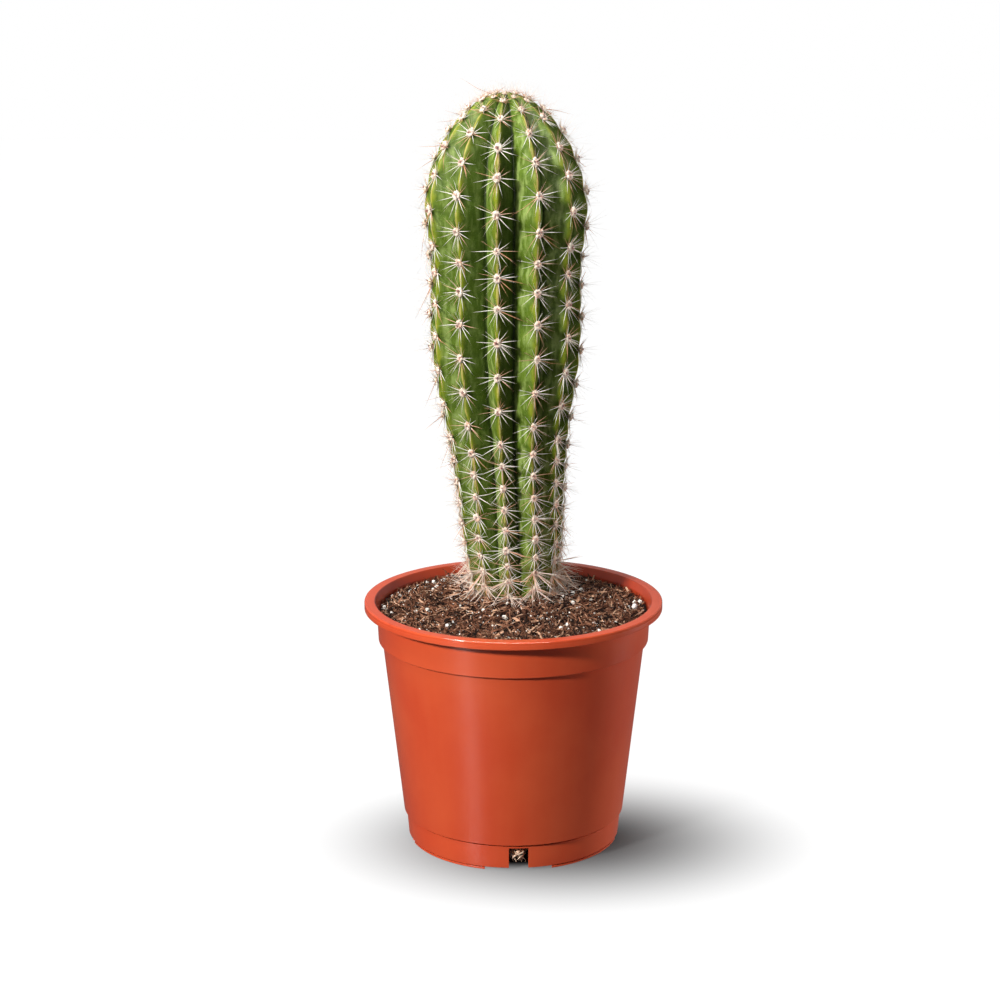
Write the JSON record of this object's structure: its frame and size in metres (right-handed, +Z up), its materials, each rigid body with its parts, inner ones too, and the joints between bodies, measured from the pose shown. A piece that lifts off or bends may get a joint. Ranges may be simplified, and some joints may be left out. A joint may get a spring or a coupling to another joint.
{
  "type": "potted tall cactus",
  "caption": "Tall ribbed columnar cactus with spines along its ribs, standing in bark and perlite soil in a round plastic nursery pot.",
  "frame": {"origin": "on the pot's axis at the surface that the pot stands on", "axes": "+Z up along the plant, the water notch nearest the viewer faces -Y"},
  "size_m": [0.17, 0.17, 0.4295],
  "materials": {
    "pot_plastic": "satin moulded",
    "potting_soil": "rough bark and peat",
    "cactus_skin": "waxy skin",
    "dry_root": "dry fibre",
    "cactus_spine": "horny, pale with a rust-red cast",
    "areole_wool": "short felted wool",
    "perlite": "chalky expanded grains"
  },
  "bodies": {
    "root": {"pot": "pot_plastic", "soil": "potting_soil", "cactus_stem": "cactus_skin", "drain_roots": "dry_root"}
  },
  "joints": []
}
